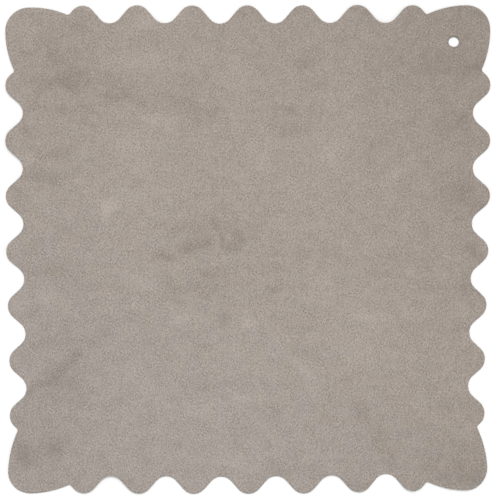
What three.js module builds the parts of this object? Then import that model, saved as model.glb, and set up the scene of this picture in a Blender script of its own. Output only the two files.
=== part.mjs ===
// Microsuede cleaning cloth: one flat sheet, die-cut with seven scallops a side, petal corners
// and one hang hole. The fabric is a warp-knitted ground with a suede nap raised on its face.
// Millimetres, +Z up. The cloth lies in XY on the back of its ground, nap upwards, with the
// origin in the middle of the cloth at that back. The hang hole is in the +X +Y corner.
import * as THREE from 'three';

// Cloth, over the scallop crests, and its two layers
const CLOTH_SIDE = 305;
const GROUND_THICKNESS = 0.45;
const NAP_THICKNESS = 0.3;

// Wavy die line: equal crest and trough arcs, joined by straight flanks
const SCALLOP_PITCH = 34.4;
const SCALLOP_DEPTH = 11.1;
const SCALLOP_FLANK_DEGREES = 49.5;

// Petal corner: a round tip and two long shallow arcs, each down to a notch. The notch's depth is
// where the arc and the next scallop's flank would meet, and a small arc rounds that meeting off.
const PETAL_TIP_RADIUS = 14.6;
const NOTCH_DEPTH = 5.8;
const NOTCH_RADIUS = 2;

// Hang hole, punched through both layers
const HANG_HOLE_DIAMETER = 6.5;
const HANG_HOLE_FROM_SIDES = 23;

// Cut edge: the die presses the nap into a rounded shoulder and leaves this much of it at the cut
const SHOULDER_WIDTH = 0.8;
const RIM_NAP_HEIGHT = 0.12;

// Steps in each round stretch
const SCALLOP_ARC_STEPS = 8;
const PETAL_ARC_STEPS = 8;
const NOTCH_ARC_STEPS = 5;
const HANG_HOLE_STEPS = 32;
const SHOULDER_STEPS = 3;

const CORNERS = 4;
const QUARTER_TURN = Math.PI / 2;

// The radius at which a crest arc and a trough arc meet the flanks between them without a kink
const flankAngle = THREE.MathUtils.degToRad(SCALLOP_FLANK_DEGREES);
const arcRise = 1 - Math.cos(flankAngle);
const flankOvershoot = (SCALLOP_PITCH / 2) * Math.tan(flankAngle) - SCALLOP_DEPTH;
const scallopRadius = (flankOvershoot * Math.cos(flankAngle)) / (2 * arcRise);

// As many scallops as fit between two petals that each take a tip radius and one pitch
const petalRun = PETAL_TIP_RADIUS + SCALLOP_PITCH;
const scallopGaps = Math.round((CLOTH_SIDE - 2 * petalRun) / SCALLOP_PITCH);
const firstCrest = (CLOTH_SIDE - scallopGaps * SCALLOP_PITCH) / 2;

// The notch is where the outer flank of the first scallop reaches the notch depth
const flankBelowArc = NOTCH_DEPTH - scallopRadius * arcRise;
const notchAlong = firstCrest - scallopRadius * Math.sin(flankAngle) - flankBelowArc / Math.tan(flankAngle);

// The petal's long arc leaves the tip along the side line and heads for the same point
const petalReach = notchAlong - PETAL_TIP_RADIUS;
const petalArcRadius = (petalReach ** 2 + NOTCH_DEPTH ** 2) / (2 * NOTCH_DEPTH);

// The notch's small arc touches the flank and the petal's arc from their open side. Its centre is
// one notch radius off the flank, and both radii from the petal arc's centre: from abreast of the
// meeting point, it slides along the flank to where that holds. Points are (along the side, depth).
const downFlank = new THREE.Vector2(-Math.cos(flankAngle), Math.sin(flankAngle));
const offFlank = new THREE.Vector2(-Math.sin(flankAngle), -Math.cos(flankAngle));
const petalCentre = new THREE.Vector2(PETAL_TIP_RADIUS, petalArcRadius);
const abreast = new THREE.Vector2(notchAlong, NOTCH_DEPTH).addScaledVector(offFlank, NOTCH_RADIUS);
const fromPetal = abreast.clone().sub(petalCentre);
const bothRadii = petalArcRadius + NOTCH_RADIUS;
const reachDown = fromPetal.dot(downFlank);
const slide = -reachDown - Math.sqrt(reachDown ** 2 - fromPetal.lengthSq() + bothRadii ** 2);
const notchCentre = abreast.clone().addScaledVector(downFlank, slide);
const petalArcAngle = Math.asin((notchCentre.x - petalCentre.x) / bothRadii);

// Points of an arc about its highest point on a side, as (distance along the side, depth inwards).
// Angles count from that highest point, and bend is 1 for a crest and -1 for a trough.
function arcPoints(peakAlong, peakDepth, bend, radius, fromAngle, toAngle, steps) {
  return Array.from({ length: steps + 1 }, (_, step) => {
    const angle = THREE.MathUtils.lerp(fromAngle, toAngle, step / steps);
    const along = peakAlong + radius * Math.sin(angle);
    const depth = peakDepth + bend * radius * (1 - Math.cos(angle));
    return new THREE.Vector2(along, depth);
  });
}

function scallopArcPoints(peakAlong, peakDepth, bend) {
  return arcPoints(peakAlong, peakDepth, bend, scallopRadius, -flankAngle, flankAngle, SCALLOP_ARC_STEPS);
}

// The small arc in a notch, between the angles at which it meets its two neighbours
function notchArcPoints(centreAlong, fromAngle, toAngle) {
  const bottom = notchCentre.y + NOTCH_RADIUS;
  return arcPoints(centreAlong, bottom, -1, NOTCH_RADIUS, fromAngle, toAngle, NOTCH_ARC_STEPS);
}

// One side of the die line, from the end of one petal tip round to the end of the next
function sidePoints() {
  const farTip = CLOTH_SIDE - PETAL_TIP_RADIUS;
  const points = arcPoints(PETAL_TIP_RADIUS, 0, 1, petalArcRadius, 0, petalArcAngle, PETAL_ARC_STEPS);
  points.push(...notchArcPoints(notchCentre.x, -petalArcAngle, flankAngle).slice(1));
  for (let gap = 0; gap <= scallopGaps; gap += 1) {
    const crest = firstCrest + gap * SCALLOP_PITCH;
    points.push(...scallopArcPoints(crest, 0, 1));
    if (gap < scallopGaps) {
      points.push(...scallopArcPoints(crest + SCALLOP_PITCH / 2, SCALLOP_DEPTH, -1));
    }
  }
  const farNotch = CLOTH_SIDE - notchCentre.x;
  points.push(...notchArcPoints(farNotch, -flankAngle, petalArcAngle).slice(0, -1));
  points.push(...arcPoints(farTip, 0, 1, petalArcRadius, -petalArcAngle, 0, PETAL_ARC_STEPS));
  const tip = arcPoints(farTip, 0, 1, PETAL_TIP_RADIUS, 0, QUARTER_TURN, PETAL_ARC_STEPS);
  points.push(...tip.slice(1, -1));
  return points;
}

// The closed die line, counter-clockwise: the same side at each quarter turn about the middle
function dieLine() {
  const centre = new THREE.Vector2();
  const halfSide = new THREE.Vector2(CLOTH_SIDE / 2, CLOTH_SIDE / 2);
  const side = sidePoints().map((point) => point.sub(halfSide));
  return Array.from({ length: CORNERS }, (_, turn) => (
    side.map((point) => point.clone().rotateAround(centre, turn * QUARTER_TURN))
  )).flat();
}

// A closed outline moved inwards by a distance, each corner along its bisector
function insetOutline(outline, distance) {
  return outline.map((point, index) => {
    const before = outline.at(index - 1);
    const after = outline[(index + 1) % outline.length];
    const incoming = point.clone().sub(before).normalize();
    const outgoing = after.clone().sub(point).normalize();
    const bisector = new THREE.Vector2(-incoming.y - outgoing.y, incoming.x + outgoing.x).normalize();
    const reach = distance / (bisector.y * incoming.x - bisector.x * incoming.y);
    return point.clone().addScaledVector(bisector, reach);
  });
}

// The hang hole's edge, clockwise, widened by a distance
function holeOutline(distance) {
  const centre = CLOTH_SIDE / 2 - HANG_HOLE_FROM_SIDES;
  const radius = HANG_HOLE_DIAMETER / 2 + distance;
  return Array.from({ length: HANG_HOLE_STEPS }, (_, step) => {
    const angle = (-2 * Math.PI * step) / HANG_HOLE_STEPS;
    return new THREE.Vector2(centre + radius * Math.cos(angle), centre + radius * Math.sin(angle));
  });
}

// Triangles between a closed ring of vertices and the same ring one level up
function ringWall(ringStart, ringLength, levelLength) {
  return Array.from({ length: ringLength }, (_, index) => {
    const here = ringStart + index;
    const next = ringStart + ((index + 1) % ringLength);
    return [here, next, next + levelLength, here, next + levelLength, here + levelLength];
  }).flat();
}

// A layer of the cloth as a closed solid. Each level has a height and an inset: how far the
// layer's edge stands back there from the die line and from the hang hole's edge.
function layerGeometry(levels) {
  const line = dieLine();
  const rings = levels.map((level) => ({
    height: level.height,
    outline: insetOutline(line, level.inset),
    hole: holeOutline(level.inset),
  }));
  const levelLength = line.length + HANG_HOLE_STEPS;
  const topStart = (rings.length - 1) * levelLength;
  const vertices = rings.flatMap((ring) => (
    [...ring.outline, ...ring.hole].flatMap((point) => [point.x, point.y, ring.height])
  ));
  const capOf = (ring) => THREE.ShapeUtils.triangulateShape(ring.outline, [ring.hole]);
  const triangles = capOf(rings[0]).flatMap(([a, b, c]) => [c, b, a]);
  for (let start = 0; start < topStart; start += levelLength) {
    triangles.push(...ringWall(start, line.length, levelLength));
    triangles.push(...ringWall(start + line.length, HANG_HOLE_STEPS, levelLength));
  }
  triangles.push(...capOf(rings.at(-1)).flat().map((corner) => corner + topStart));

  const geometry = new THREE.BufferGeometry();
  geometry.setAttribute('position', new THREE.Float32BufferAttribute(vertices, 3));
  geometry.setIndex(triangles);
  geometry.computeVertexNormals();
  return geometry;
}

// Ground: the dense knit that carries the cloth, cut square through by the die
function groundKnit() {
  const geometry = layerGeometry([
    { height: 0, inset: 0 },
    { height: GROUND_THICKNESS, inset: 0 },
  ]);
  const material = new THREE.MeshStandardMaterial({ color: 0x978d85, roughness: 0.95, metalness: 0 });
  const mesh = new THREE.Mesh(geometry, material);
  mesh.name = 'ground_knit';
  return mesh;
}

// Nap: the raised suede pile, rounded off by a quarter ellipse along the cut edges
function suedeNap() {
  const shoulderHeight = NAP_THICKNESS - RIM_NAP_HEIGHT;
  const shoulder = Array.from({ length: SHOULDER_STEPS + 1 }, (_, step) => {
    const angle = (step / SHOULDER_STEPS) * QUARTER_TURN;
    return {
      height: RIM_NAP_HEIGHT + shoulderHeight * Math.sin(angle),
      inset: SHOULDER_WIDTH * (1 - Math.cos(angle)),
    };
  });
  const geometry = layerGeometry([{ height: 0, inset: 0 }, ...shoulder]);
  const material = new THREE.MeshStandardMaterial({ color: 0xa59b93, roughness: 0.9, metalness: 0 });
  const mesh = new THREE.Mesh(geometry, material);
  mesh.name = 'suede_nap';
  mesh.position.z = GROUND_THICKNESS;
  return mesh;
}

const cloth = new THREE.Group();
cloth.name = 'microsuede_cleaning_cloth';
cloth.add(groundKnit(), suedeNap());

export default cloth;
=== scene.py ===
"""The looks of a microsuede cleaning cloth that lies flat, nap upwards, seen from straight above.

Metres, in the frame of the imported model: the cloth lies in XY, with its hang hole in the +X +Y
corner. One grid of lines is drawn out to the die line and laid with the slight pull, shifts and
ripple of limp fabric. The knitted ground and the suede nap are two closed layers on that grid, and
loose fibres stand along their cut edges.
"""

import math

import bpy
import numpy as np
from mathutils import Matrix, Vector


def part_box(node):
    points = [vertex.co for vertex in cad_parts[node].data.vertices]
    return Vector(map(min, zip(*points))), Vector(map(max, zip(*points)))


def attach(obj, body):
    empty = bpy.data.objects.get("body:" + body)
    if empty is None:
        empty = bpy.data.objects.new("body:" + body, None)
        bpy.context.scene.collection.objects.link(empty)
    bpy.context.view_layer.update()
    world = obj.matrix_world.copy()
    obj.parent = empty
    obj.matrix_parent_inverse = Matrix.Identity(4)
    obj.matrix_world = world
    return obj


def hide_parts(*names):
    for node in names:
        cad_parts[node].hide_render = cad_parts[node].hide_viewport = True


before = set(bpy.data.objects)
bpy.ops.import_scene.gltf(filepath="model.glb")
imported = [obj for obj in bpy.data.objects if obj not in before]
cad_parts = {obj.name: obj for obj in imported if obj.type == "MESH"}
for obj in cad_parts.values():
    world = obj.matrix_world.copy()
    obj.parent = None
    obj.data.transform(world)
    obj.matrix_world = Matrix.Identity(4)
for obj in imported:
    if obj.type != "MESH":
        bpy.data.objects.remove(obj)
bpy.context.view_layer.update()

MM = 0.001

# Cloth and its two layers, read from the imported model
nap_low, nap_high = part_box("suede_nap")
ground_low, ground_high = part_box("ground_knit")
SIDE = nap_high.x - nap_low.x
HALF = SIDE / 2
GROUND = ground_high.z - ground_low.z
NAP = nap_high.z - nap_low.z

# Die line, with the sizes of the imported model
PITCH = 34.4 * MM
DEPTH = 11.1 * MM
FLANK = math.radians(49.5)
TIP_RADIUS = 14.6 * MM
NOTCH_DEPTH = 5.8 * MM
NOTCH_RADIUS = 2 * MM
HOLE_RADIUS = 3.25 * MM
HOLE_FROM_SIDES = 23 * MM
SHOULDER = 0.8 * MM
RIM_NAP = 0.12 * MM

# What follows from them: the wave's arc radius, the first crest, where the petal's arc and the
# first flank would meet, and the petal's arc
ARC_RISE = 1 - math.cos(FLANK)
ARC_RADIUS = (PITCH / 2 * math.tan(FLANK) - DEPTH) * math.cos(FLANK) / (2 * ARC_RISE)
ARC_REACH = ARC_RADIUS * math.sin(FLANK)
GAPS = round((SIDE - 2 * (TIP_RADIUS + PITCH)) / PITCH)
FIRST_CREST = (SIDE - GAPS * PITCH) / 2
NOTCH = FIRST_CREST - ARC_REACH - (NOTCH_DEPTH - ARC_RADIUS * ARC_RISE) / math.tan(FLANK)
PETAL_REACH = NOTCH - TIP_RADIUS
PETAL_RADIUS = (PETAL_REACH**2 + NOTCH_DEPTH**2) / (2 * NOTCH_DEPTH)
CORNER = TIP_RADIUS * (1 - math.sqrt(0.5))
HOLE_AT = SIDE - HOLE_FROM_SIDES

# The notch's small arc touches the flank and the petal's arc from their open side: its centre is
# one notch radius off the flank, and both radii from the petal arc's centre. Points are (distance
# along the side, depth).
DOWN_FLANK = np.array([-math.cos(FLANK), math.sin(FLANK)])
OFF_FLANK = np.array([-math.sin(FLANK), -math.cos(FLANK)])
ABREAST = np.array([NOTCH, NOTCH_DEPTH]) + NOTCH_RADIUS * OFF_FLANK
FROM_PETAL = ABREAST - np.array([TIP_RADIUS, PETAL_RADIUS])
BOTH_RADII = PETAL_RADIUS + NOTCH_RADIUS
REACH_DOWN = FROM_PETAL @ DOWN_FLANK
SLIDE = -REACH_DOWN - math.sqrt(REACH_DOWN**2 - FROM_PETAL @ FROM_PETAL + BOTH_RADII**2)
NOTCH_ALONG, NOTCH_CENTRE_DEPTH = ABREAST + SLIDE * DOWN_FLANK
NOTCH_START = NOTCH_ALONG - NOTCH_RADIUS * (NOTCH_ALONG - TIP_RADIUS) / BOTH_RADII
NOTCH_END = NOTCH_ALONG + NOTCH_RADIUS * math.sin(FLANK)

# Grid: its widest spacing, its spacing at the cut edge and at a notch, how fast it widens, and the
# samples from which its spacing is summed
WIDEST = 1.9 * MM
EDGE_STEP = 0.2 * MM
NOTCH_STEP = 0.3 * MM
GROWTH = 0.3
SPACING_SAMPLES = 2000

# The cells across the hang hole, how far out its circles turn back into squares, and how far in
# from a side the push of the die line fades
HOLE_CELLS = 12
HOLE_ZONE = 13 * MM
FADE = 42 * MM

# How the limp sheet lies: its sides are pulled in, most in the lower half and on the right but
# less at the lower corners, its top slips a little against its bottom, its middle sags, two
# corners have shifted, and the hang hole is drawn up and stretched into a slight oval
PULL_TOP = 0.89 * MM
PULL_LOW = 3.27 * MM
PULL_RIGHT_SHARE = 0.25
PULL_POWER = 2.15
PULL_FROM_SHARE = 0.403
PULL_TO_SHARE = -0.651
PULL_EASE = 1.89 * MM
PULL_EASE_FROM_SHARE = -0.65
SLIP = 0.45 * MM
SAG = 1.02 * MM
SAG_LEFT = 0.31 * MM
LOW_RIGHT_RISE = 2.16 * MM
LOW_RIGHT_FROM_SHARE = 0.2
TOP_LEFT_DROP = 1.62 * MM
TOP_LEFT_FROM_SHARE = 0.6
HOLE_RISE = 0.55 * MM
HOLE_STRETCH = 0.055
HOLE_REACH = 14 * MM

# Small shifts of the limp edge: the middle across and up and the reach in shares of the half
# side, and then how far it has moved to the right and up
EDGE_SHIFTS = [
    (-0.55, 0.95, 0.22, -0.45 * MM, 0.10 * MM),
    (-0.10, 0.95, 0.14, -0.10 * MM, -0.22 * MM),
    (0.35, 0.95, 0.20, 0.00 * MM, 0.26 * MM),
    (0.62, 0.95, 0.16, 0.36 * MM, -0.04 * MM),
    (-0.65, -0.95, 0.16, -0.60 * MM, 0.20 * MM),
    (-0.12, -0.95, 0.18, 0.00 * MM, -0.48 * MM),
    (0.42, -0.95, 0.16, 0.28 * MM, 0.42 * MM),
    (0.72, -0.95, 0.16, 0.45 * MM, 0.25 * MM),
    (-0.95, 0.78, 0.20, 0.36 * MM, 0.32 * MM),
    (-0.95, 0.45, 0.18, 0.20 * MM, 0.22 * MM),
    (-0.95, -0.15, 0.24, -0.26 * MM, -0.05 * MM),
    (-0.95, -0.88, 0.10, 0.50 * MM, 0.00 * MM),
    (0.95, 0.66, 0.12, 0.22 * MM, 0.16 * MM),
    (0.95, 0.16, 0.16, -0.20 * MM, -0.26 * MM),
    (0.95, -0.36, 0.18, -0.06 * MM, 0.40 * MM),
    (0.95, -0.56, 0.08, -0.30 * MM, 0.10 * MM),
]

# Ripple of the sheet off the floor, curl of its edges, and fine pebbling of its face. The ripples
# lean one part across for so many parts up, and start a little below their mean. Ripple and curl
# are powers of clouds, so that they leave the floor gently.
RIPPLE = 1.5 * MM
RIPPLE_CELL = 68 * MM
RIPPLE_LEAN = 3
RIPPLE_BELOW_MEAN = 0.1
LIFT_POWER = 1.5
CURL = 1.5 * MM
CURL_CELL = 40 * MM
CURL_REACH = 16 * MM
PEBBLE = 0.035 * MM
PEBBLE_CELL = 6 * MM

# Rings of the cut walls, from the bottom up: the share of the layer's height, and the way that
# yarn ends stand out past the cut
GROUND_WALL = [(0.15, 0.03 * MM), (0.45, 0.055 * MM), (0.8, 0.04 * MM)]
NAP_WALL = [(0.5, 0.025 * MM)]

# Loose fibres along the cut: how many, how long, half their thickness, and how far inside the cut
# they start
FIBRES = 11500
FIBRE_LENGTH = 0.42 * MM
FIBRE_RADIUS = 0.014 * MM
FIBRE_START = 2 * FIBRE_RADIUS

# How fibres differ: the shares of their length and of the rim's height where they start, the
# spread of their slants, the least and most tilt, and the spread of their bends across and over
FIBRE_LENGTH_SHARES = (0.6, 1.9)
FIBRE_ROOT_SHARES = (0.1, 0.95)
FIBRE_SLANT = 0.55
FIBRE_TILTS = (-0.3, 0.6)
FIBRE_BEND_ACROSS = 0.3
FIBRE_BEND_OVER = 0.2

# Rings of a fibre: the share of its length and of its thickness
FIBRE_RINGS = [(0, 1), (0.45, 0.85), (0.8, 0.55)]

# Shares of the picture map that the shown face and the hidden face take
SHOWN_SHARE = 0.965
HIDDEN_SHARE = 0.02
MAP_MARGIN = 0.005

# Random seed, and how many random heights a side a cloud's lattice has before it repeats
SEED = 7
LATTICE = 64

# How far in from a cut the distance to it is worked out, how far to each side of a point the die
# line is searched, and in how many samples
RIM_WIDTH = 3 * MM
RIM_WINDOW = 5 * MM
RIM_SAMPLES = 101

# Marks that hands and packing left in the nap, in shares of the half side: the middle across and
# up, half the length, half the breadth, the turn in degrees, and how dark (below 0) or light the
# nap lies there. A mark ends sharply on its lower side and fades on its upper side.
NAP_MARK_SHARES = [
    # Brushed block and strokes near the top left corner
    (-0.808, 0.664, 0.032, 0.028, 40, -0.80),
    (-0.746, 0.660, 0.054, 0.036, -18, -1.05),
    (-0.745, 0.715, 0.056, 0.065, 0, -0.60),
    (-0.698, 0.700, 0.018, 0.060, 0, -0.35),
    (-0.848, 0.630, 0.040, 0.026, 62, -0.48),
    (-0.873, 0.690, 0.026, 0.040, 0, -0.62),
    (-0.655, 0.665, 0.035, 0.030, 0, -0.38),
    (-0.820, 0.827, 0.036, 0.022, -60, -0.52),
    (-0.915, 0.798, 0.026, 0.022, 0, -0.42),
    (-0.790, 0.800, 0.110, 0.090, 0, -0.22),
    (-0.700, 0.890, 0.090, 0.060, 0, -0.28),
    (-0.775, 0.575, 0.130, 0.020, 0, -0.42),
    (-0.530, 0.626, 0.044, 0.026, 10, -0.80),
    (-0.474, 0.612, 0.030, 0.028, -38, -0.66),
    (-0.560, 0.665, 0.100, 0.060, -14, -0.32),
    (-0.380, 0.590, 0.090, 0.060, -8, -0.24),
    (-0.260, 0.578, 0.080, 0.060, 0, -0.40),
    (-0.143, 0.560, 0.036, 0.025, 0, -0.70),
    (-0.210, 0.680, 0.080, 0.035, 0, -0.28),
    (-0.222, 0.535, 0.018, 0.080, 0, -0.48),
    # Smear left of the middle: three dabs, a stroke that bends down and up again, and their veil
    (-0.338, -0.032, 0.032, 0.030, 16, -1.10),
    (-0.227, 0.004, 0.038, 0.032, 4, -1.00),
    (-0.168, 0.018, 0.030, 0.024, 10, -0.80),
    (-0.132, 0.098, 0.046, 0.026, -8, -0.50),
    (-0.110, 0.046, 0.040, 0.016, -60, -0.90),
    (-0.067, 0.006, 0.028, 0.020, 0, -0.80),
    (-0.022, 0.034, 0.034, 0.028, 56, -0.85),
    (-0.275, 0.084, 0.060, 0.017, 31, -0.45),
    (-0.209, -0.036, 0.022, 0.036, 0, -0.42),
    (-0.190, 0.070, 0.110, 0.070, 14, -0.28),
    (-0.070, 0.075, 0.070, 0.060, -10, -0.10),
    # Rubbed stroke and dark block low on the left
    (-0.713, -0.457, 0.036, 0.040, 10, -0.75),
    (-0.772, -0.486, 0.052, 0.030, 46, -0.72),
    (-0.800, -0.552, 0.055, 0.045, 20, -0.68),
    (-0.880, -0.568, 0.045, 0.034, 20, -0.58),
    (-0.727, -0.550, 0.034, 0.028, 0, -0.50),
    (-0.687, -0.655, 0.028, 0.024, 0, -0.50),
    (-0.711, -0.712, 0.030, 0.024, 0, -0.50),
    (-0.635, -0.385, 0.100, 0.025, 41, -0.45),
    (-0.740, -0.600, 0.120, 0.060, 0, -0.25),
    (-0.912, -0.865, 0.032, 0.070, 0, -0.85),
    (-0.782, -0.828, 0.046, 0.050, 14, -0.95),
    (-0.860, -0.850, 0.060, 0.060, 0, -0.25),
    (-0.830, -0.740, 0.090, 0.040, 0, -0.20),
    # Right side, from the hang hole's corner down
    (0.840, 0.740, 0.160, 0.060, 0, -0.38),
    (0.620, 0.760, 0.040, 0.050, 0, -0.10),
    (0.870, 0.500, 0.085, 0.100, 0, -0.38),
    (0.885, 0.200, 0.110, 0.090, -20, -0.52),
    (0.965, 0.770, 0.035, 0.050, 0, -0.55),
    (0.925, -0.020, 0.030, 0.040, 0, -0.65),
    (0.895, -0.170, 0.040, 0.050, -30, -0.60),
    (0.860, -0.335, 0.035, 0.020, 0, -0.45),
    (0.905, -0.935, 0.090, 0.090, 0, -0.55),
    (0.775, -0.940, 0.045, 0.030, 0, -0.32),
    (0.898, -0.656, 0.035, 0.028, 0, -0.36),
    # Slanting smear low on the right
    (0.457, -0.668, 0.036, 0.030, -64, -0.55),
    (0.492, -0.707, 0.046, 0.034, -36, -0.52),
    (0.526, -0.768, 0.034, 0.030, -75, -0.55),
    (0.558, -0.845, 0.045, 0.024, -45, -0.38),
    # Small dark touches
    (0.212, 0.762, 0.045, 0.026, 6, -0.65),
    (0.165, 0.580, 0.035, 0.024, -20, -0.80),
    (0.205, 0.490, 0.065, 0.036, 16, -0.52),
    (0.135, 0.455, 0.030, 0.035, 50, -0.42),
    (0.520, 0.706, 0.034, 0.024, 10, -0.14),
    (0.495, 0.385, 0.040, 0.034, 30, -0.55),
    (0.590, 0.430, 0.025, 0.025, 0, -0.25),
    (-0.845, 0.290, 0.070, 0.035, 0, -0.75),
    (-0.800, 0.385, 0.050, 0.045, 0, -0.40),
    (-0.820, -0.095, 0.080, 0.028, 6, -0.50),
    (-0.155, -0.100, 0.060, 0.028, 0, -0.55),
    (-0.165, -0.165, 0.070, 0.040, 0, -0.55),
    (-0.300, -0.165, 0.040, 0.030, 0, -0.45),
    (-0.100, -0.290, 0.025, 0.045, 0, -0.55),
    (0.525, -0.095, 0.040, 0.025, 0, -0.45),
    (0.414, -0.061, 0.035, 0.026, 0, -0.38),
    (0.385, -0.155, 0.030, 0.026, 0, -0.30),
    (-0.730, 0.075, 0.035, 0.028, 0, -0.45),
    (0.107, -0.920, 0.042, 0.030, 0, -0.42),
    (0.475, -0.980, 0.050, 0.035, 0, -0.42),
    (-0.869, 0.455, 0.028, 0.024, 0, -0.40),
    (0.033, 0.861, 0.030, 0.028, 0, -0.38),
    (0.100, -0.180, 0.035, 0.024, 0, -0.75),
    (0.200, -0.320, 0.060, 0.020, 0, -0.45),
    (0.240, -0.435, 0.045, 0.030, -30, -0.45),
    (0.380, -0.545, 0.024, 0.020, 0, -0.45),
    (0.610, -0.050, 0.024, 0.024, 0, -0.35),
    (0.230, -0.035, 0.045, 0.035, 20, -0.30),
    (0.320, -0.700, 0.020, 0.045, 0, -0.30),
    (0.110, -0.680, 0.035, 0.030, 0, -0.28),
    (-0.140, -0.560, 0.090, 0.030, 4, -0.25),
    (-0.780, -0.370, 0.090, 0.050, 20, -0.32),
    (-0.870, -0.250, 0.020, 0.035, 0, -0.35),
    (-0.910, 0.485, 0.025, 0.025, 0, -0.50),
    (-0.433, -0.525, 0.030, 0.024, 0, -0.45),
    (-0.655, 0.512, 0.028, 0.024, 0, -0.48),
    (-0.962, -0.817, 0.022, 0.030, 0, -0.50),
    (0.088, -0.025, 0.030, 0.026, 0, -0.42),
    (0.311, -0.022, 0.028, 0.024, 0, -0.42),
    (-0.103, -0.331, 0.028, 0.024, 0, -0.40),
    (0.648, -0.958, 0.030, 0.024, 0, -0.50),
    (0.176, 0.972, 0.030, 0.022, 0, -0.45),
    (0.492, 0.956, 0.030, 0.024, 0, -0.45),
    (0.815, -0.674, 0.026, 0.026, 0, -0.42),
    (-0.907, -0.617, 0.026, 0.026, 0, -0.42),
    (-0.918, 0.163, 0.026, 0.026, 0, -0.42),
    (-0.665, -0.501, 0.026, 0.024, 0, -0.40),
    # Small light touches
    (-0.962, -0.466, 0.026, 0.026, 0, 0.48),
    (-0.853, 0.146, 0.028, 0.026, 0, 0.45),
    (-0.578, 0.013, 0.028, 0.026, 0, 0.45),
    (-0.933, -0.529, 0.024, 0.024, 0, 0.42),
    (0.434, -0.474, 0.028, 0.024, 0, 0.40),
    (-0.570, 0.160, 0.040, 0.055, 0, 0.90),
    (-0.500, 0.400, 0.060, 0.080, -30, 0.42),
    (-0.370, 0.510, 0.036, 0.035, 0, 0.62),
    (-0.305, 0.505, 0.030, 0.050, 0, 0.50),
    (-0.450, 0.760, 0.110, 0.040, 0, 0.48),
    (-0.050, 0.680, 0.060, 0.110, 0, 0.28),
    (-0.905, 0.365, 0.025, 0.025, 40, 0.60),
    (-0.425, 0.930, 0.038, 0.055, 0, 0.55),
    (-0.440, 0.205, 0.090, 0.035, 0, 0.35),
    (-0.830, -0.220, 0.045, 0.045, 0, 0.55),
    (-0.930, -0.220, 0.040, 0.070, 0, 0.35),
    (-0.440, -0.130, 0.070, 0.060, 0, 0.35),
    (-0.495, -0.240, 0.030, 0.030, 0, 0.40),
    (-0.270, -0.290, 0.050, 0.040, 0, 0.62),
    (-0.015, -0.300, 0.040, 0.030, 0, 0.62),
    (-0.040, -0.420, 0.030, 0.045, 50, 0.40),
    (-0.475, -0.525, 0.050, 0.040, 0, 0.58),
    (-0.425, -0.610, 0.032, 0.055, 0, 0.40),
    (-0.180, -0.660, 0.060, 0.030, 0, 0.58),
    (-0.035, -0.620, 0.050, 0.030, 0, 0.48),
    (0.215, -0.505, 0.050, 0.024, -48, 0.65),
    (0.310, -0.160, 0.045, 0.060, 0, 0.40),
    (0.480, -0.300, 0.070, 0.070, 0, 0.30),
    (0.470, -0.430, 0.070, 0.040, 0, 0.25),
    (-0.070, -0.890, 0.090, 0.060, 0, 0.30),
    (0.605, 0.300, 0.040, 0.030, 0, 0.50),
    (0.345, 0.380, 0.080, 0.140, 0, 0.30),
    (0.070, 0.380, 0.060, 0.080, 0, 0.25),
]

# A mark's breadth on its sharp side as a share of that on its other side, and how far its edges
# wander, with the cell size of that
MARK_SHARP_SHARE = 0.45
MARK_WANDER = 3 * MM
MARK_WANDER_CELL = 8 * MM

# Painted shade in a narrow ring round the hang hole's cut: how dark, and how far from the cut
HOLE_RING_SHADE = -0.6
HOLE_RING_SHADE_REACH = 0.9 * MM

# Broad darker and lighter areas, partly uneven nap and partly painted shade where the lay turns
# from the light, in the same shares and measure: wide even bells
BROAD_NAP_AND_SHADE_SHARES = [
    (0.90, 1.00, 0.50, 0.50, -0.48),
    (0.10, 1.00, 0.30, 0.25, -0.14),
    (1.00, 0.20, 0.42, 0.80, -0.30),
    (0.90, -1.00, 0.50, 0.30, -0.30),
    (-0.75, 0.75, 0.30, 0.30, -0.10),
    (-1.00, -0.80, 0.30, 0.40, -0.10),
    (-0.10, -0.65, 0.65, 0.50, 0.18),
    (-0.40, 0.30, 0.35, 0.35, 0.12),
    (0.45, -0.30, 0.20, 0.20, 0.12),
    (0.20, 0.30, 0.30, 0.25, 0.08),
    (0.78, 0.95, 0.14, 0.14, -0.07),
    (0.42, 0.75, 0.12, 0.18, 0.07),
    (0.00, 0.65, 0.30, 0.15, -0.05),
    (-0.73, 0.54, 0.14, 0.14, -0.07),
    (-0.60, 0.16, 0.25, 0.12, 0.05),
    (0.45, 0.08, 0.20, 0.15, 0.05),
    (0.00, -0.42, 0.20, 0.10, 0.07),
    (-0.88, -0.40, 0.12, 0.12, 0.06),
    (0.85, -0.85, 0.20, 0.20, -0.07),
]

# How far the finer clouds' lattices are turned off the sides, and how far the pile's strokes are
TURN = math.radians(33)
PILE_TURN = math.radians(-20)

# The nap's clouds, from faint streaks both ways down to tufts and fine strokes of pile, and then
# patches of stronger grain and islands of a painted cool light: how far each is drawn out across
# and up, the turn of its lattice, the size of its cells, its detail, and its swirl
NAP_CLOUDS = {
    "streak": (1.3, 1, 0, 9 * MM, 2, 0),
    "crosswise": (2, 1, -TURN, 4.2 * MM, 0, 0),
    "upright": (1, 1.5, TURN, 5 * MM, 0, 0),
    "mottle": (1, 2.3, TURN, 2.4 * MM, 1, 0),
    "grain": (1, 1.15, TURN, 0.9 * MM, 0, 0),
    "tuft": (1, 1.15, -TURN, 0.3 * MM, 1, 0),
    "pile": (0.16, 1, PILE_TURN, 0.36 * MM, 2, 1.2),
    "patch": (1, 1, 0, 6 * MM, 2, 0),
    "cool_light_island": (1, 1, 0, 10 * MM, 1, 0),
}

# Their weights in the broad tone, in the fine grain, and in the relief
NAP_TONE = {"streak": 0.24, "upright": 0.1, "crosswise": 0.1, "mottle": 0.21}
NAP_GRAIN = {"grain": 1, "tuft": 0.5, "pile": 1.4}
NAP_RELIEF = {"grain": 0.6, "tuft": 0.3, "mottle": 0.3, "pile": 0.6}
NAP_RELIEF_DEPTH = 0.15 * MM
NAP_RELIEF_STRENGTH = 0.5
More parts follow.
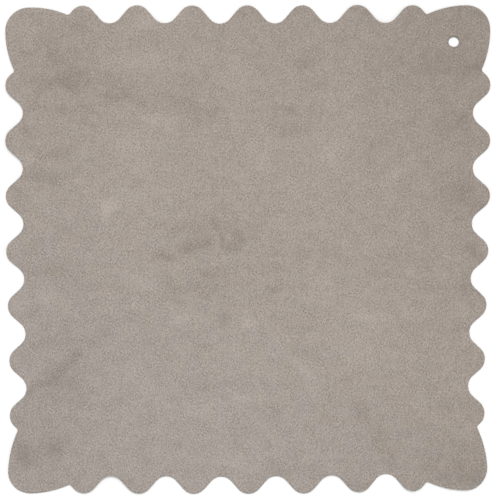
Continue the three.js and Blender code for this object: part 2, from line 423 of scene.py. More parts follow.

# How much the lie, with its painted shade, shifts the tone, how strong the grain is and how that
# grows with the lie and in the patches, and how much painted shade darkens the rim and how far in
LIE_WEIGHT = 0.315
GRAIN_STRENGTH = 1.02
GRAIN_BY_LIE = 0.2
GRAIN_BY_PATCH = 2
RIM_SHADE_WEIGHT = 0.06
RIM_SHADE_FADE_MM = 1.2

# Display colours of nap that lies away from the eye and towards it, in its own warm tone and as
# a painted cool light shows them
NAP_AWAY_WARM = (136.9, 126.6, 117.3)
NAP_TOWARDS_WARM = (188.9, 178.6, 169.4)
NAP_AWAY_IN_COOL_LIGHT = (135.6, 126.4, 119.1)
NAP_TOWARDS_IN_COOL_LIGHT = (187.6, 178.4, 171.2)

# The nap's roughness, what the grain adds to it, and its specular level
NAP_ROUGHNESS = 0.92
NAP_ROUGHNESS_BY_GRAIN = 0.1
NAP_SPECULAR = 0.2

# Where a painted cool light tints the nap: how fast across and up, from how far out, in shares of
# the half side, and how strong its islands and how sharp their edges are
COOL_LIGHT_ACROSS = -0.52 / HALF
COOL_LIGHT_UP = -0.85 / HALF
COOL_LIGHT_FROM = 0.38
COOL_LIGHT_ISLANDS = 1.6
COOL_LIGHT_SHARPNESS = 5

# The ground's knit: the width of a wale and the height of a stitch, how far a wale sways and a
# stitch leans, the cell size and detail of its clouds, and the weights in the relief
WALE = 1.0 * MM
STITCH = 0.75 * MM
WALE_SWAY = 1.2
STITCH_LEAN = 1.4
KNIT_CLOUDS = {"sway": (6 * MM, 1), "fuzz": (0.35 * MM, 2), "mottle": (7 * MM, 3)}
KNIT_RELIEF = {"wale": 0.25, "stitch": 0.18, "fuzz": 0.7}
KNIT_RELIEF_DEPTH = 0.12 * MM
KNIT_RELIEF_STRENGTH = 0.6

# The ground's tone, what the relief adds to it as partly painted shade, lighter on the ridges and
# darker in the grooves, what the mottle adds to it, and how much lighter the yarn ends are at the
# cut, in all and with their fuzz, and how far in
KNIT_TONE = 0.45
KNIT_SHADE_BY_RELIEF = 0.35
KNIT_BY_MOTTLE = 0.5
YARN_ENDS = 0.15
YARN_ENDS_BY_FUZZ = 0.6
YARN_ENDS_FADE_MM = 0.15

# The ground's display colours, roughness, what the fuzz adds to that, and specular level
KNIT_DARK = (128, 118, 110)
KNIT_LIGHT = (175, 165, 156)
KNIT_ROUGHNESS = 0.85
KNIT_ROUGHNESS_BY_FUZZ = 0.1
KNIT_SPECULAR = 0.25

# Loose fibres: the cell size and the spread of their shades, their display colours, and how rough,
# glossy and sheeny they are
FIBRE_SHADE_CELL = 0.5 * MM
FIBRE_SHADE_SPREAD = 2
FIBRE_DARK = (150, 140, 131)
FIBRE_LIGHT = (190, 181, 172)
FIBRE_ROUGHNESS = 0.7
FIBRE_SPECULAR = 0.3
FIBRE_SHEEN = 0.2

# Sheen of the brushed and knitted faces: its weight, roughness and display colour
SHEEN = 0.15
SHEEN_ROUGHNESS = 0.5
SHEEN_COLOUR = (236, 228, 220)

# Studio floor: half its side in metres, its grey, and the glow that lifts it to white
FLOOR_REACH = 3
FLOOR_GREY = 0.88
FLOOR_GLOW = 0.15

# Camera: the photograph's side, the lens and the sensor in millimetres, and the point that it
# looks straight down on
VIEW_SIDE = 312.7 * MM
LENS = 85
SENSOR = 36
LOOK_AT = (1.2 * MM, -0.4 * MM)

# Light: the shares of the soft sky and of the key, and how far the key leans from upright, how
# wide it is and how far it is turned
SKY_SHARE = 0.6
KEY_SHARE = 0.4
KEY_FROM_UPRIGHT = math.radians(38)
KEY_WIDTH = math.radians(24)
KEY_TURN = math.radians(-8)


def smooth(start, end, value):
    """A step from 0 at start to 1 at end, level at both: 3t squared minus 2t cubed."""
    t = np.clip((value - start) / (end - start), 0, 1)
    return t * t * (3 - 2 * t)


def cloud(x, y, cell, seed):
    """Soft random relief from -1 to 1: random heights on a square lattice, blended between its
    corners by a level-ended curve in each direction."""
    heights = np.random.default_rng(seed).uniform(-1, 1, (LATTICE, LATTICE))
    column, row = x / cell, y / cell
    left, below = np.floor(column).astype(int), np.floor(row).astype(int)
    across, up = smooth(0, 1, column - left), smooth(0, 1, row - below)

    def height(i, j):
        return heights[(left + i) % LATTICE, (below + j) % LATTICE]

    low = height(0, 0) * (1 - across) + height(1, 0) * across
    high = height(0, 1) * (1 - across) + height(1, 1) * across
    return low * (1 - up) + high * up


def die_depth(along):
    """How deep the die line lies inside the crest line, at distances along a side. From the nearer
    corner: a quarter of the tip's circle, the petal's long arc, the notch's small arc, and then a
    wave whose crests and troughs are arcs of one radius, joined by straight flanks."""
    near = np.minimum(along, SIDE - along)
    from_tip = np.clip(TIP_RADIUS - near, 0, TIP_RADIUS)
    tip = TIP_RADIUS - np.sqrt(TIP_RADIUS**2 - from_tip**2)
    on_petal = np.clip(near - TIP_RADIUS, 0, PETAL_REACH)
    petal = PETAL_RADIUS - np.sqrt(PETAL_RADIUS**2 - on_petal**2)
    off_crest = np.abs((near - FIRST_CREST + PITCH / 2) % PITCH - PITCH / 2)
    crest_arc = ARC_RADIUS - np.sqrt(ARC_RADIUS**2 - np.minimum(off_crest, ARC_REACH) ** 2)
    off_trough = np.minimum(PITCH / 2 - off_crest, ARC_REACH)
    trough_arc = DEPTH - ARC_RADIUS + np.sqrt(ARC_RADIUS**2 - off_trough**2)
    flank = ARC_RADIUS * ARC_RISE + (off_crest - ARC_REACH) * math.tan(FLANK)
    wave = np.where(off_crest < ARC_REACH, crest_arc, flank)
    wave = np.where(off_crest > PITCH / 2 - ARC_REACH, trough_arc, wave)
    off_notch = np.clip(near - NOTCH_ALONG, -NOTCH_RADIUS, NOTCH_RADIUS)
    notch_arc = NOTCH_CENTRE_DEPTH + np.sqrt(NOTCH_RADIUS**2 - off_notch**2)
    return np.where(near < NOTCH_START, tip + petal, np.where(near < NOTCH_END, notch_arc, wave))


def graded(start, end, first, last):
    """Grid lines between two marks. Their spacing is first at the start and last at the end, and
    widens by a share of the way covered, up to the widest."""
    at = np.linspace(start, end, SPACING_SAMPLES)
    spacing = np.minimum(first + GROWTH * (at - start), last + GROWTH * (end - at))
    rate = 1 / np.minimum(spacing, WIDEST)
    passed = np.concatenate([[0], np.cumsum((rate[1:] + rate[:-1]) / 2 * np.diff(at))])
    return np.interp(np.linspace(0, passed[-1], round(passed[-1]) + 1), passed, at)


def grid_lines():
    """Distances of the grid lines from a side's crest line. They crowd at the cut edges, at the
    notches and round the hang hole, where the middle cells are exactly as wide as the hole."""
    hole_low, hole_high = HOLE_AT - HOLE_RADIUS, HOLE_AT + HOLE_RADIUS
    hole_step = 2 * HOLE_RADIUS / HOLE_CELLS
    stretches = [
        graded(CORNER, NOTCH, EDGE_STEP, NOTCH_STEP),
        graded(NOTCH, SIDE - NOTCH, NOTCH_STEP, NOTCH_STEP),
        graded(SIDE - NOTCH, hole_low, NOTCH_STEP, hole_step),
        np.linspace(hole_low, hole_high, HOLE_CELLS + 1),
        graded(hole_high, SIDE - CORNER, hole_step, EDGE_STEP),
    ]
    return np.concatenate([stretches[0]] + [stretch[1:] for stretch in stretches[1:]])


def die_cut_grid(lines):
    """Every grid crossing's place on the flat die-cut cloth, counted from its middle.

    A square grid whose corners lie on the petal tips is pushed out or in at each side by the die
    line's distance from that side, and the push fades with the square of the way inwards. Round
    the hang hole, squares become circles: a point's larger offset is the radius and the ratio of
    its two offsets is the angle, blended into the rest over the hole's zone."""
    u, v = np.meshgrid(lines, lines, indexing="ij")
    push = CORNER - die_depth(lines)
    near_fade = np.clip(1 - (lines - CORNER) / FADE, 0, 1) ** 2
    far_fade = np.clip(1 - (SIDE - CORNER - lines) / FADE, 0, 1) ** 2
    fade = far_fade - near_fade
    x = u + fade[:, None] * push[None, :]
    y = v + fade[None, :] * push[:, None]
    a, b = u - HOLE_AT, v - HOLE_AT
    wide = np.abs(a) >= np.abs(b)
    larger = np.where(wide, a, b)
    ratio = np.where(wide, b, a) / np.where(larger == 0, 1, larger)
    angle = np.where(wide, ratio, 2 - ratio) * math.pi / 4
    blend = smooth(HOLE_RADIUS, HOLE_ZONE, np.abs(larger))
    x = blend * x + (1 - blend) * (HOLE_AT + larger * np.cos(angle))
    y = blend * y + (1 - blend) * (HOLE_AT + larger * np.sin(angle))
    return x - HALF, y - HALF


def distance_inside(x, y, lines):
    """Each crossing's distance from the nearest cut, up to the rim's width: from the hole's edge,
    and near a side from points of the die line on both sides of the crossing's own place."""
    centre = HOLE_AT - HALF
    inside = np.minimum(np.abs(np.hypot(x - centre, y - centre) - HOLE_RADIUS), RIM_WIDTH)
    rim = int(np.searchsorted(lines, CORNER + 2 * RIM_WIDTH))
    window = np.linspace(-RIM_WINDOW, RIM_WINDOW, RIM_SAMPLES)

    def from_side(along, depth):
        near = np.clip(along[..., None] + HALF + window, CORNER, SIDE - CORNER)
        off = np.hypot(near - HALF - along[..., None], die_depth(near) - HALF - depth[..., None])
        return off.min(-1)

    inside[:, :rim] = np.minimum(inside[:, :rim], from_side(x[:, :rim], y[:, :rim]))
    inside[:, -rim:] = np.minimum(inside[:, -rim:], from_side(x[:, -rim:], -y[:, -rim:]))
    inside[:rim] = np.minimum(inside[:rim], from_side(y[:rim], x[:rim]))
    inside[-rim:] = np.minimum(inside[-rim:], from_side(y[-rim:], -x[-rim:]))
    return inside


def laid(x, y):
    """Where points of the flat cloth lie once it is put down: the pulls, slip, sag and shifted
    corners of limp fabric, each a smooth function of the place as a share of the half side, round
    the hang hole a bell that lifts and stretches, and along the edges bells of small shifts."""
    s, t = x / HALF, y / HALF
    low = smooth(PULL_FROM_SHARE, PULL_TO_SHARE, t) * (1 + PULL_RIGHT_SHARE * s)
    pull = PULL_TOP + PULL_LOW * low - PULL_EASE * smooth(PULL_EASE_FROM_SHARE, -1, t)
    sag = (SAG - SAG_LEFT * s) * (1 - t * t)
    low_right = smooth(LOW_RIGHT_FROM_SHARE, 1, s) * smooth(-LOW_RIGHT_FROM_SHARE, -1, t)
    top_left = smooth(-TOP_LEFT_FROM_SHARE, -1, s) * smooth(TOP_LEFT_FROM_SHARE, 1, t)
    right, above = x + HALF - HOLE_AT, y + HALF - HOLE_AT
    bell = np.exp(-(right**2 + above**2) / HOLE_REACH**2)
    to_right = HOLE_STRETCH * right * bell - pull * s * np.abs(s) ** PULL_POWER - SLIP * t
    to_top = (HOLE_RISE - HOLE_STRETCH / 2 * above) * bell - sag
    to_top += LOW_RIGHT_RISE * low_right - TOP_LEFT_DROP * top_left
    for across, up, reach, shift_right, shift_up in EDGE_SHIFTS:
        bell = np.exp(-((s - across) ** 2 + (t - up) ** 2) / reach**2)
        to_right += shift_right * bell
        to_top += shift_up * bell
    return x + to_right, y + to_top


def off_floor(x, y):
    """How high the sheet's back lies over the floor. Long ripples lift it only where they are above
    about their mean, its edges curl up a little here and there, and fine pebbling covers it, in
    two sizes, the smaller one half as wide and half as strong."""
    leaning = cloud(x + y / RIPPLE_LEAN, y, RIPPLE_CELL, SEED)
    ripple = np.maximum(leaning + RIPPLE_BELOW_MEAN, 0) ** LIFT_POWER
    from_edge = HALF - np.maximum(np.abs(x), np.abs(y))
    reach = np.clip(1 - from_edge / CURL_REACH, 0, 1) ** 2
    curl = reach * np.maximum(cloud(x, y, CURL_CELL, SEED + 1), 0) ** LIFT_POWER
    pebble = cloud(x, y, PEBBLE_CELL, SEED + 2) + 0.5 * cloud(x, y, PEBBLE_CELL / 2, SEED + 3)
    height = RIPPLE * ripple + CURL * curl + PEBBLE * pebble
    return height - height.min()


def nap_lie_and_shade(x, y, from_hole):
    """How the brushed nap lies, with painted shade, about 0 where it stands as made. Each mark is a
    bell across and along, narrower on its lower side, on places that wander a little so that no
    edge is even. The broad bells are even and partly painted shade, and a narrow ring round the
    hang hole is darker with painted shade."""
    wander_x = MARK_WANDER * cloud(x, y, MARK_WANDER_CELL, SEED + 4)
    wander_y = MARK_WANDER * cloud(x, y, MARK_WANDER_CELL, SEED + 5)
    # Painted shade in a narrow ring round the hang hole's cut
    lie = HOLE_RING_SHADE * np.exp(-((from_hole / HOLE_RING_SHADE_REACH) ** 2))
    for across, up, length, breadth, turn, strength in NAP_MARK_SHARES:
        cosine, sine = math.cos(math.radians(turn)), math.sin(math.radians(turn))
        right, above = x + wander_x - across * HALF, y + wander_y - up * HALF
        along, over = right * cosine + above * sine, above * cosine - right * sine
        width = breadth * HALF * np.where(over < 0, MARK_SHARP_SHARE, 1)
        lie += strength * np.exp(-((along / (length * HALF)) ** 2) - (over / width) ** 2)
    # Broad bells, partly painted shade
    for across, up, reach_across, reach_up, strength in BROAD_NAP_AND_SHADE_SHARES:
        right, above = (x / HALF - across) / reach_across, (y / HALF - up) / reach_up
        lie += strength * np.exp(-(right**2) - above**2)
    return lie


def kept_cells(lines):
    """Which grid cells are cloth: all but those inside the hang hole."""
    middle = (lines[1:] + lines[:-1]) / 2
    in_hole = np.abs(middle - HOLE_AT) < HOLE_RADIUS
    return ~(in_hole[:, None] & in_hole[None, :])


def cut_loops(lines):
    """Grid crossings round the cloth, counter-clockwise, and round the hang hole, clockwise."""

    def ring(low, high):
        run = np.arange(low, high)
        back = run[::-1] + 1
        first, last = np.full(run.size, low), np.full(run.size, high)
        across = np.concatenate([run, last, back, first])
        up = np.concatenate([first, run, last, back])
        return across * lines.size + up

    hole = np.flatnonzero(np.abs(lines - HOLE_AT) < HOLE_RADIUS + EDGE_STEP / 2)
    return ring(0, lines.size - 1), ring(hole[0], hole[-1])[::-1]


def outward_of(at):
    """Unit steps out of the cloth round a cut: each point's two neighbours give the way along the
    cut, and outwards is a right angle to its right."""
    ahead = np.roll(at, -1, 0) - np.roll(at, 1, 0)
    outward = np.stack([ahead[:, 1], -ahead[:, 0]], 1)
    return outward / np.linalg.norm(outward, axis=1)[:, None]


def add_piece(name, places, faces, material):
    """A smooth mesh object of the given places and faces."""
    mesh = bpy.data.meshes.new(name)
    mesh.from_pydata(places, [], faces)
    mesh.shade_smooth()
    mesh.materials.append(material)
    piece = bpy.data.objects.new(name, mesh)
    bpy.context.scene.collection.objects.link(piece)
    return piece


def add_layer(name, grid, lower, upper, wall, shows_above, material, values):
    """One closed layer of the sheet: the grid at its lower and its upper heights, and round each
    cut a wall of rings at shares of the height, each a step outwards. The shown face fills the
    picture map from above, the walls unfold outwards from it, and the hidden face has a small
    corner. Values are numbers of each crossing that the material reads, and a wall has those of
    its cut."""
    lines, x, y = grid
    crossing = np.arange(x.size).reshape(x.shape)
    near, far = crossing[:-1], crossing[1:]
    quads = np.stack([near[:, :-1], far[:, :-1], far[:, 1:], near[:, 1:]], -1)[kept_cells(lines)]
    flat = np.stack([x.ravel(), y.ravel()], 1)
    from_corner = flat / SIDE + 0.5
    shown_map = from_corner * SHOWN_SHARE + MAP_MARGIN
    hidden_map = from_corner * HIDDEN_SHARE + MAP_MARGIN + [SHOWN_SHARE + MAP_MARGIN, 0]
    lower_map, upper_map = (hidden_map, shown_map) if shows_above else (shown_map, hidden_map)

    places = [np.column_stack([flat, lower.ravel()]), np.column_stack([flat, upper.ravel()])]
    origin = [crossing.ravel(), crossing.ravel()]
    faces = [quads[:, ::-1], quads + x.size]
    corners = [lower_map[quads[:, ::-1]], upper_map[quads]]
    start = 2 * x.size
    for loop in cut_loops(lines):
        outward = outward_of(flat[loop])
        low, high = lower.ravel()[loop], upper.ravel()[loop]
        rings = [loop]
        for share, step in wall:
            height = low + (high - low) * share
            places.append(np.column_stack([flat[loop] + outward * step, height]))
            origin.append(loop)
            rings.append(start + np.arange(loop.size))
            start += loop.size
        rings.append(loop + x.size)
        unfolded = []
        for share in [0] + [share for share, step in wall] + [1]:
            off_shown = (high - low) * (1 - share if shows_above else share)
            unfolded.append(shown_map[loop] + outward * off_shown[:, None] * SHOWN_SHARE / SIDE)

        # Faces from each ring to the next, and their corners on the picture map
        for courses, parts in ((rings, faces), (unfolded, corners)):
            for below, above in zip(courses, courses[1:]):
                ahead = np.roll(below, -1, 0), np.roll(above, -1, 0)
                parts.append(np.stack([below, *ahead, above], 1))

    places, faces, origin = np.concatenate(places), np.concatenate(faces), np.concatenate(origin)
    used, renumbered = np.unique(faces, return_inverse=True)
    piece = add_piece(name, places[used], renumbered.reshape(faces.shape), material)
    picture_map = piece.data.uv_layers.new(name="OFBake")
    picture_map.data.foreach_set("uv", np.concatenate(corners).ravel())
    for value_name, value in values.items():
        attribute = piece.data.attributes.new(value_name, "FLOAT", "POINT")
        attribute.data.foreach_set("value", value.ravel()[origin[used]])
    return piece


def add_fibres(name, grid, back, material):
    """Loose microfibres along every cut. Each is a three-sided tube of rings and a tip: it starts
    just inside the cut wall, over the sheet's back, leaves it at a random slant and tilt, bends
    with the square of the way along it, tapers to its tip, and lies on the floor where it would
    droop through it."""
    lines, x, y = grid
    random = np.random.default_rng(SEED + 6)
    starts, steps, outwards = [], [], []
    for loop in cut_loops(lines):
        at = np.stack([x.ravel()[loop], y.ravel()[loop], back.ravel()[loop]], 1)
        starts.append(at)
        steps.append(np.roll(at, -1, 0) - at)
        outwards.append(outward_of(at[:, :2]))
    start, step, outward = np.concatenate(starts), np.concatenate(steps), np.concatenate(outwards)
    passed = np.concatenate([[0], np.cumsum(np.linalg.norm(step, axis=1))])
    here = random.uniform(0, passed[-1], FIBRES)
    edge = np.searchsorted(passed, here) - 1
    share = (here - passed[edge]) / (passed[edge + 1] - passed[edge])
    root, outward = start[edge] + step[edge] * share[:, None], outward[edge]
    count = len(root)
    root[:, :2] -= outward * FIBRE_START
    root[:, 2] += random.uniform(*FIBRE_ROOT_SHARES, count) * (GROUND + RIM_NAP)
    slant = random.normal(0, FIBRE_SLANT, count)
    tilt = random.uniform(*FIBRE_TILTS, count)
    along_cut = np.stack([-outward[:, 1], outward[:, 0]], 1)
    level = outward * np.cos(slant)[:, None] + along_cut * np.sin(slant)[:, None]
    heading = np.column_stack([level * np.cos(tilt)[:, None], np.sin(tilt)])
    across = np.column_stack([-level[:, 1], level[:, 0], np.zeros(count)])
    over = np.cross(heading, across)
    length = FIBRE_LENGTH * random.uniform(*FIBRE_LENGTH_SHARES, count)[:, None]
    bend = across * random.normal(0, FIBRE_BEND_ACROSS, count)[:, None]
    bend += over * random.normal(0, FIBRE_BEND_OVER, count)[:, None]

    def centre(t):
        at = root + length * (heading * t + bend * t * t)
        at[:, 2] = np.maximum(at[:, 2], FIBRE_RADIUS)
        return at

    places = []
    for t, taper in FIBRE_RINGS:
        for turn in np.arange(3) * 2 * math.pi / 3:
            spoke = across * math.cos(turn) + over * math.sin(turn)
            places.append(centre(t) + spoke * FIBRE_RADIUS * taper)
    places.append(centre(1))

    # One fibre's faces: the cap inside the wall, the sides between its rings, and the tip
    sides = [(0, 1, 4), (0, 4, 3), (1, 2, 5), (1, 5, 4), (2, 0, 3), (2, 3, 5)]
    upper_sides = [tuple(corner + 3 for corner in side) for side in sides]
    one = np.array([(2, 1, 0)] + sides + upper_sides + [(6, 7, 9), (7, 8, 9), (8, 6, 9)])
    faces = (one[None] + np.arange(count)[:, None, None] * len(places)).reshape(-1, 3)
    return add_piece(name, np.stack(places, 1).reshape(-1, 3), faces, material)


class Value:
    """A node's output. Between numbers, Python's operators add Math nodes."""

    def __init__(self, graph, socket):
        self.graph = graph
        self.socket = socket

    def __add__(self, other):
        return self.graph.maths("ADD", self, other)

    def __mul__(self, other):
        return self.graph.maths("MULTIPLY", self, other)

    def __sub__(self, other):
        return self.graph.maths("SUBTRACT", self, other)

    def __rsub__(self, other):
        return self.graph.maths("SUBTRACT", other, self)

    __radd__ = __add__
    __rmul__ = __mul__


class Graph:
    """The nodes of one material or world."""

    def __init__(self, owner):
        owner.use_nodes = True
        self.tree = owner.node_tree
        self.tree.nodes.clear()

    def node(self, kind, settings, sockets, output=0):
        """Adds a node with its settings and then its sockets, and returns one of its outputs."""
        node = self.tree.nodes.new(kind)
        for name, value in settings.items():
            setattr(node, name, value)
        for name, value in sockets.items():
            socket = next(s for s in node.inputs if name in (s.identifier, s.name))
            if isinstance(value, Value):
                self.tree.links.new(value.socket, socket)
            else:
                socket.default_value = value
        return Value(self, node.outputs[output]) if node.outputs else None

    def maths(self, operation, *numbers):
        sockets = dict(zip(("Value", "Value_001"), numbers))
        return self.node("ShaderNodeMath", {"operation": operation}, sockets)

    def limited(self, number):
        return self.node("ShaderNodeClamp", {}, {"Value": number})

    def attribute(self, name):
        return self.node("ShaderNodeAttribute", {"attribute_name": name}, {}, "Fac")

    def cut(self, width):
        """1 at a cut of the cloth, and evenly down to 0 at the given width in millimetres."""
        inside = self.attribute("edge_mm")
        fall = {"Value": inside, "From Max": width, "To Min": 1, "To Max": 0}
        return self.node("ShaderNodeMapRange", {}, fall)

    def place(self):
        """The place on the object, in metres."""
        return self.node("ShaderNodeTexCoord", {}, {}, "Object")

    def across_and_up(self):
        """The two level parts of the place on the object."""
        across = self.node("ShaderNodeSeparateXYZ", {}, {"Vector": self.place()})
        return across, Value(self, across.socket.node.outputs["Y"])

    def noise(self, at, cell, detail, swirl=0):
        """Perlin noise about 0 over the sheet, with cells of the given size, swirled if asked."""
        sockets = {"Vector": at, "Scale": 1 / cell, "Detail": detail, "Distortion": swirl}
        return self.node("ShaderNodeTexNoise", {"noise_dimensions": "2D"}, sockets) - 0.5

    def drawn_noise(self, across, up, turn, cell, detail, swirl):
        """Noise that is drawn out across and up, with its lattice turned."""
        drawn = {"Vector": self.place(), "Scale": (across, up, 1)}
        at = self.node("ShaderNodeMapping", {"vector_type": "TEXTURE"}, drawn)
        at = self.node("ShaderNodeMapping", {}, {"Vector": at, "Rotation": (0, 0, turn)})
        return self.noise(at, cell, detail, swirl)

    def mix(self, factor, first, second):
        sockets = {"Factor_Float": factor, "A_Color": first, "B_Color": second}
        return self.node("ShaderNodeMix", {"data_type": "RGBA"}, sockets, 2)


def paint(red, green, blue):
    """A colour from its display values out of 255: linear light is the value as a share, plus
    0.055, over 1.055, to the power of 2.4."""
    return tuple(((value / 255 + 0.055) / 1.055) ** 2.4 for value in (red, green, blue)) + (1,)


def weighed(values, weights):
    """The sum of the named values, each times its weight."""
    first, *others = [values[name] * weight for name, weight in weights.items()]
    return sum(others, first)


def finish_material(graph, shader):
    graph.node("ShaderNodeOutputMaterial", {}, {"Surface": shader})


def finish_cloth(graph, colour, roughness, specular, raised):
    """Matt, slightly sheeny cloth, with its relief as bump."""
    finish_material(graph, graph.node("ShaderNodeBsdfPrincipled", {}, {
        "Base Color": colour,
        "Roughness": roughness,
        "Specular IOR Level": specular,
        "Sheen Weight": SHEEN,
        "Sheen Roughness": SHEEN_ROUGHNESS,
        "Sheen Tint": paint(*SHEEN_COLOUR),
        "Normal": graph.node("ShaderNodeBump", {}, raised),
    }))


def nap_material():
    """Brushed suede: a mix of the tone of nap that lies away from the eye and of nap that lies
    towards it. Marks, broad bells that are partly painted shade, a painted shade round the hang
    hole, faint streaks both ways, mottle, and a grain of tufts and pile strokes shift the mix, the
    cut rim is a little darker with painted shade, and a painted cool light tints the whole towards
    the lower left, in islands. The grain and the mottle also give the relief."""
    material = bpy.data.materials.new("suede nap")
    graph = Graph(material)
    lie = graph.attribute("nap_lie_and_shade")
    clouds = {name: graph.drawn_noise(*form) for name, form in NAP_CLOUDS.items()}
    strength = GRAIN_STRENGTH + lie * GRAIN_BY_LIE + clouds["patch"] * GRAIN_BY_PATCH
    grain = weighed(clouds, NAP_GRAIN) * strength
    # Painted shade along every cut, where the rounded rim turns from the light
    rim = graph.cut(RIM_SHADE_FADE_MM) * RIM_SHADE_WEIGHT
    tone = graph.limited(0.5 + lie * LIE_WEIGHT + weighed(clouds, NAP_TONE) + grain - rim)
    warm = graph.mix(tone, paint(*NAP_AWAY_WARM), paint(*NAP_TOWARDS_WARM))
    # Painted cool light: the nap's tones as a cooler light shows them
    cool = graph.mix(tone, paint(*NAP_AWAY_IN_COOL_LIGHT), paint(*NAP_TOWARDS_IN_COOL_LIGHT))
    across, up = graph.across_and_up()
    # The painted cool light grows towards the lower left, in islands
    low_left = across * COOL_LIGHT_ACROSS + up * COOL_LIGHT_UP - COOL_LIGHT_FROM
    islands = clouds["cool_light_island"] * COOL_LIGHT_ISLANDS
    painted_cool_light = graph.limited(0.5 + (low_left + islands) * COOL_LIGHT_SHARPNESS)
    colour = graph.mix(painted_cool_light, warm, cool)
    relief = weighed(clouds, NAP_RELIEF)
    roughness = NAP_ROUGHNESS + clouds["grain"] * NAP_ROUGHNESS_BY_GRAIN
    raised = {"Height": relief, "Distance": NAP_RELIEF_DEPTH, "Strength": NAP_RELIEF_STRENGTH}
    finish_cloth(graph, colour, roughness, NAP_SPECULAR, raised)
    return material


def ground_material():
    """Dense warp knit: wales are ridges side by side, and each is a chain of stitches that lean to
    one side and then to the other. Its tone follows the relief, lighter on the ridges and darker in
    the grooves, partly painted shade. Yarn ends show lighter on the cut wall."""
    material = bpy.data.materials.new("warp knit ground")
    graph = Graph(material)
    place = graph.place()
    across, up = graph.across_and_up()
    knit = {name: graph.noise(place, cell, detail) for name, (cell, detail) in KNIT_CLOUDS.items()}
    wale = graph.maths("SINE", across * (2 * math.pi / WALE) + knit["sway"] * WALE_SWAY)
    stitch = graph.maths("SINE", up * (2 * math.pi / STITCH) + wale * STITCH_LEAN)
    relief = weighed(knit | {"wale": wale, "stitch": stitch}, KNIT_RELIEF)
    yarn_ends = graph.cut(YARN_ENDS_FADE_MM) * (YARN_ENDS + knit["fuzz"] * YARN_ENDS_BY_FUZZ)
    # The relief term is partly painted shade: lighter on the ridges, darker in the grooves
    tone = KNIT_TONE + relief * KNIT_SHADE_BY_RELIEF + knit["mottle"] * KNIT_BY_MOTTLE + yarn_ends
    colour = graph.mix(graph.limited(tone), paint(*KNIT_DARK), paint(*KNIT_LIGHT))
    roughness = KNIT_ROUGHNESS + knit["fuzz"] * KNIT_ROUGHNESS_BY_FUZZ
    raised = {"Height": relief, "Distance": KNIT_RELIEF_DEPTH, "Strength": KNIT_RELIEF_STRENGTH}
    finish_cloth(graph, colour, roughness, KNIT_SPECULAR, raised)
    return material


def fibre_material():
    """Single microfibres: the nap's tone, a little lighter, and different from fibre to fibre."""
    material = bpy.data.materials.new("loose microfibre")
    graph = Graph(material)
    spread = graph.noise(graph.place(), FIBRE_SHADE_CELL, 0) * FIBRE_SHADE_SPREAD
    colour = graph.mix(graph.limited(0.5 + spread), paint(*FIBRE_DARK), paint(*FIBRE_LIGHT))
    finish_material(graph, graph.node("ShaderNodeBsdfPrincipled", {}, {
        "Base Color": colour,
        "Roughness": FIBRE_ROUGHNESS,
        "Specular IOR Level": FIBRE_SPECULAR,
        "Sheen Weight": FIBRE_SHEEN,
    }))
    return material


def seen_directly(graph):
    """1 for rays that show the background: from the camera, a mirror or through glass."""
    rays = [
        graph.node("ShaderNodeLightPath", {}, {}, name)
        for name in ("Is Camera Ray", "Is Glossy Ray", "Is Transmission Ray")
    ]
    return graph.maths("MAXIMUM", graph.maths("MAXIMUM", rays[0], rays[1]), rays[2])


def floor_material():
    """White studio floor: it takes light and shadow, and a glow that only the camera and
    reflections see lifts it to white."""
    material = bpy.data.materials.new("studio floor")
    graph = Graph(material)
    grey = (FLOOR_GREY, FLOOR_GREY, FLOOR_GREY, 1)
    matt = graph.node("ShaderNodeBsdfDiffuse", {}, {"Color": grey})
    lift = {"Color": (1, 1, 1, 1), "Strength": seen_directly(graph) * FLOOR_GLOW}
    glow = graph.node("ShaderNodeEmission", {}, lift)
    both = graph.node("ShaderNodeAddShader", {}, {"Shader": matt, "Shader_001": glow})
    finish_material(graph, both)
    return material


def add_floor():
    low, high = -FLOOR_REACH, FLOOR_REACH
    corners = [(low, low, 0), (high, low, 0), (high, high, 0), (low, high, 0)]
    return add_piece("floor", corners, [(0, 1, 2, 3)], floor_material())


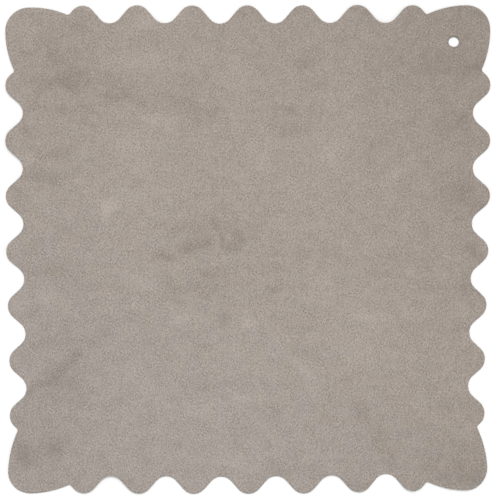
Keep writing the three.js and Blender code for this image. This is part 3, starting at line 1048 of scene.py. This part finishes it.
def add_light():
    """A soft sky that the camera sees as white, and a wide key from beyond the top of the cloth.
    On a level surface, the two shares together show a colour as it is written."""
    world = bpy.data.worlds.new("soft sky")
    bpy.context.scene.world = world
    graph = Graph(world)
    strength = SKY_SHARE + seen_directly(graph) * (1 - SKY_SHARE)
    sky = graph.node("ShaderNodeBackground", {}, {"Color": (1, 1, 1, 1), "Strength": strength})
    graph.node("ShaderNodeOutputWorld", {}, {"Surface": sky})
    lamp = bpy.data.lights.new("key", "SUN")
    lamp.energy = KEY_SHARE * math.pi / math.cos(KEY_FROM_UPRIGHT)
    lamp.angle = KEY_WIDTH
    key = bpy.data.objects.new("key", lamp)
    key.rotation_euler = (-KEY_FROM_UPRIGHT, 0, KEY_TURN)
    bpy.context.scene.collection.objects.link(key)


def add_camera(height):
    """Straight above the cloth, as far up as the lens needs to see the photograph's side."""
    lens = bpy.data.cameras.new("camera")
    lens.lens = LENS
    lens.sensor_width = SENSOR
    camera = bpy.data.objects.new("camera", lens)
    camera.location = (LOOK_AT[0], LOOK_AT[1], height + VIEW_SIDE * LENS / SENSOR)
    bpy.context.scene.collection.objects.link(camera)
    bpy.context.scene.camera = camera


add_light()
add_camera(GROUND + NAP)

lines = grid_lines()
flat_x, flat_y = die_cut_grid(lines)
inside = distance_inside(flat_x, flat_y, lines)
x, y = laid(flat_x, flat_y)
grid = (lines, x, y)

# Heights from the floor up: the back, the ground's face, and the nap's face with its rounded
# shoulder, a quarter ellipse from the rim's height up to the nap's
back = off_floor(flat_x, flat_y)
ground_top = back + GROUND
rounding = np.sqrt(1 - (1 - np.clip(inside / SHOULDER, 0, 1)) ** 2)
nap_top = ground_top + RIM_NAP + (NAP - RIM_NAP) * rounding

from_hole = np.hypot(flat_x + HALF - HOLE_AT, flat_y + HALF - HOLE_AT) - HOLE_RADIUS
cut_values = {"edge_mm": inside / MM}
nap_values = cut_values | {"nap_lie_and_shade": nap_lie_and_shade(x, y, from_hole)}

ground = add_layer(
    "ground", grid, back, ground_top, GROUND_WALL, False, ground_material(), cut_values
)
nap = add_layer("nap", grid, ground_top, nap_top, NAP_WALL, True, nap_material(), nap_values)
fibres = add_fibres("edge_fibres", grid, back, fibre_material())
floor = add_floor()

for piece, slot in ((ground, "ground_knit"), (nap, "suede_nap"), (fibres, "suede_nap")):
    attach(piece, "root")
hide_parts("ground_knit")
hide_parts("suede_nap")

bpy.context.scene.view_settings.view_transform = "Standard"
